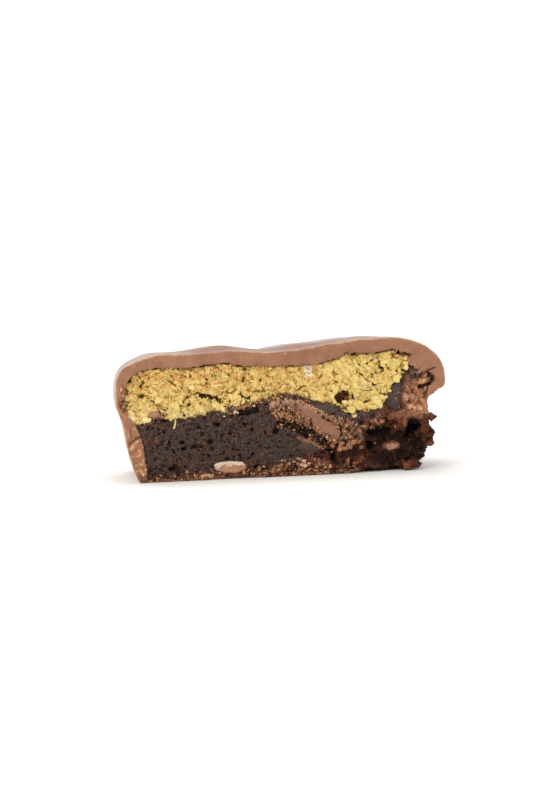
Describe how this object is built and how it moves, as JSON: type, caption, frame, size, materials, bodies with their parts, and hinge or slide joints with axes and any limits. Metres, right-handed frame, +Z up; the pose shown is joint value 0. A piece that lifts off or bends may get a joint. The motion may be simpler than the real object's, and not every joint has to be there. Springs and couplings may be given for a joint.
{
  "type": "chocolate coated kunafa brownie half",
  "caption": "Cut half of a chocolate coated bar: crumbly pistachio kunafa on dark brownie inside a milk chocolate shell, torn at one end.",
  "frame": {"origin": "centre of the bounding box on the flat base that the half rests on", "axes": "+X along the cut, towards the torn end; -Y out of the cut face; +Z up through the domed chocolate top"},
  "size_m": [0.0698, 0.035, 0.0292],
  "materials": {
    "milk_chocolate": "satin",
    "pistachio_kunafa": "matte, crumbly",
    "brownie_crumb": "matte, moist crumb",
    "melted_chocolate": "matte",
    "chocolate_chip": "matte"
  },
  "bodies": {
    "root": {"chocolate_coating": "milk_chocolate", "kunafa_layer": "pistachio_kunafa", "brownie_layer": "brownie_crumb", "chocolate_ribbon": "melted_chocolate", "chip_at_base": "chocolate_chip", "chip_in_hollow": "chocolate_chip"}
  },
  "joints": []
}
